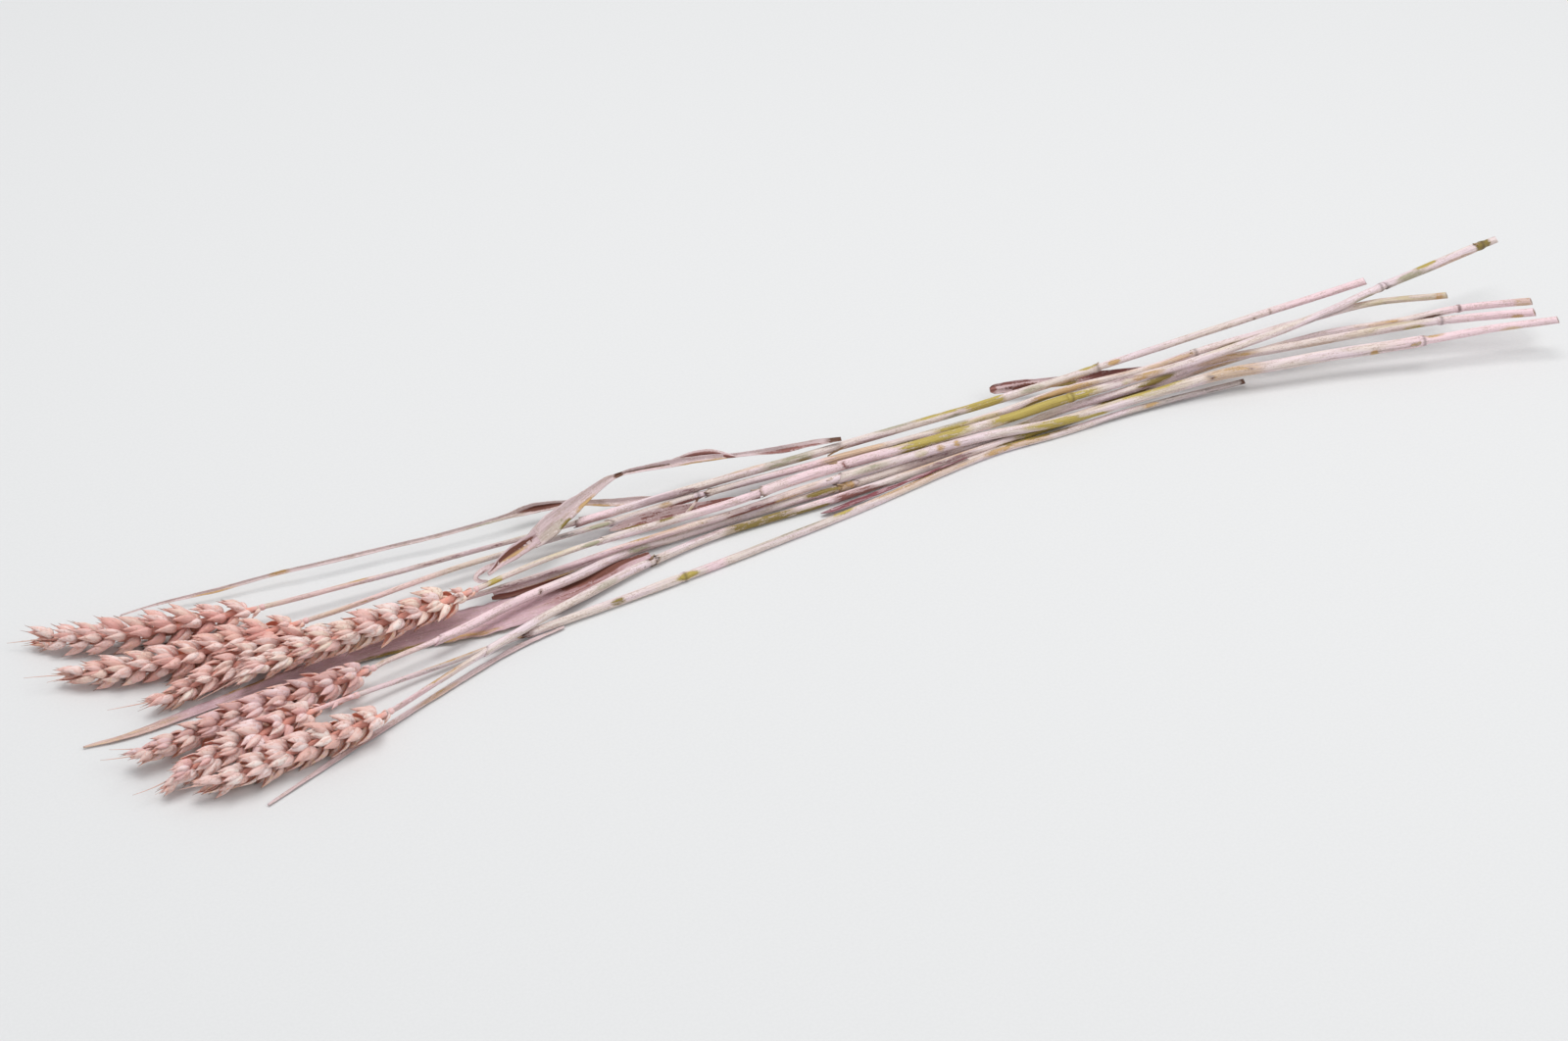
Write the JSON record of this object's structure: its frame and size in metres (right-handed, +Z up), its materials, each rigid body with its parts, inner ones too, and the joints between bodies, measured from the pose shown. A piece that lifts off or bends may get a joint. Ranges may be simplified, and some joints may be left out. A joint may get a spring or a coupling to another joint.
{
  "type": "bundle of dried wheat",
  "caption": "Loose bundle of dried wheat lying down, coated in chalky pink paint, with bristly ears at one end, cut straws at the other and dry leaves along it.",
  "frame": {"origin": "under the middle of the bundle, on the surface that it lies on", "axes": "+X along the straws, towards their cut ends; the ears are at -X; +Z up, away from the surface"},
  "size_m": [0.6648, 0.125, 0.0316],
  "materials": {
    "straw": "dry wheat straw under thin matt pink paint with olive and tan patches left bare",
    "ear": "papery husks under matt pale pink paint, browner where the paint did not reach",
    "leaf": "thin dry leaf blade, ribbed along its length, matt mauve-pink paint",
    "bare_leaf": "thin dry leaf blade, brown-red and almost without paint"
  },
  "bodies": {
    "root": {"straw_1": "straw", "ear_1": "ear", "straw_2": "straw", "ear_2": "ear", "straw_3": "straw", "ear_3": "ear", "straw_4": "straw", "ear_4": "ear", "straw_5": "straw", "ear_5": "ear", "straw_6": "straw", "ear_6": "ear", "straw_7": "straw", "ear_7": "ear", "leaf_long": "leaf", "leaf_twisted": "leaf", "leaf_broad": "leaf", "leaf_folded": "leaf", "leaf_between": "bare_leaf", "leaf_red": "bare_leaf", "leaf_stub": "bare_leaf", "leaf_thin": "leaf"}
  },
  "joints": []
}
